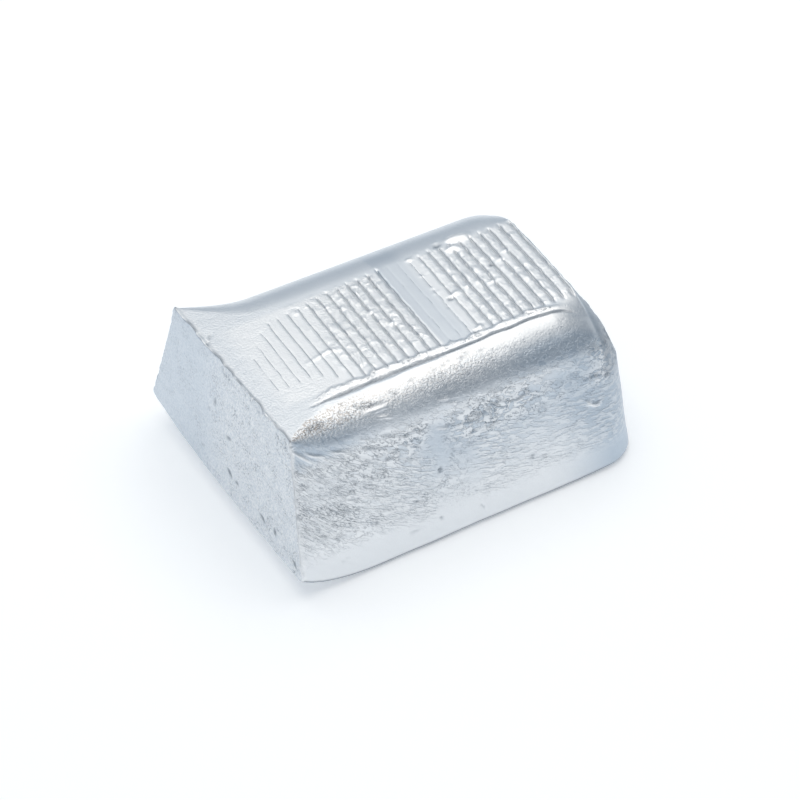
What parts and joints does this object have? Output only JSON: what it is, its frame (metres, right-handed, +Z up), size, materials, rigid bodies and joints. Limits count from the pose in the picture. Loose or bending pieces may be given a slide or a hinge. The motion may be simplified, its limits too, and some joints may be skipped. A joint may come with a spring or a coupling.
{
  "type": "master alloy ingot",
  "caption": "Small cast ingot of trapezoid section, with one flat plate-cast end, round shoulders, a rounded end and shallow cross ribs on its top face.",
  "frame": {"origin": "middle of the ingot's plan box, on the floor that it rests on", "axes": "+Z up, +X along the bar from the flat plate-cast end to the rounded end, +Y towards the long wall with the higher base corner"},
  "size_m": [0.081, 0.0604, 0.0349],
  "materials": {
    "cast_alloy": "as-cast, satin to bright, with fine pits and flow marks"
  },
  "bodies": {
    "root": {"ingot": "cast_alloy"}
  },
  "joints": []
}
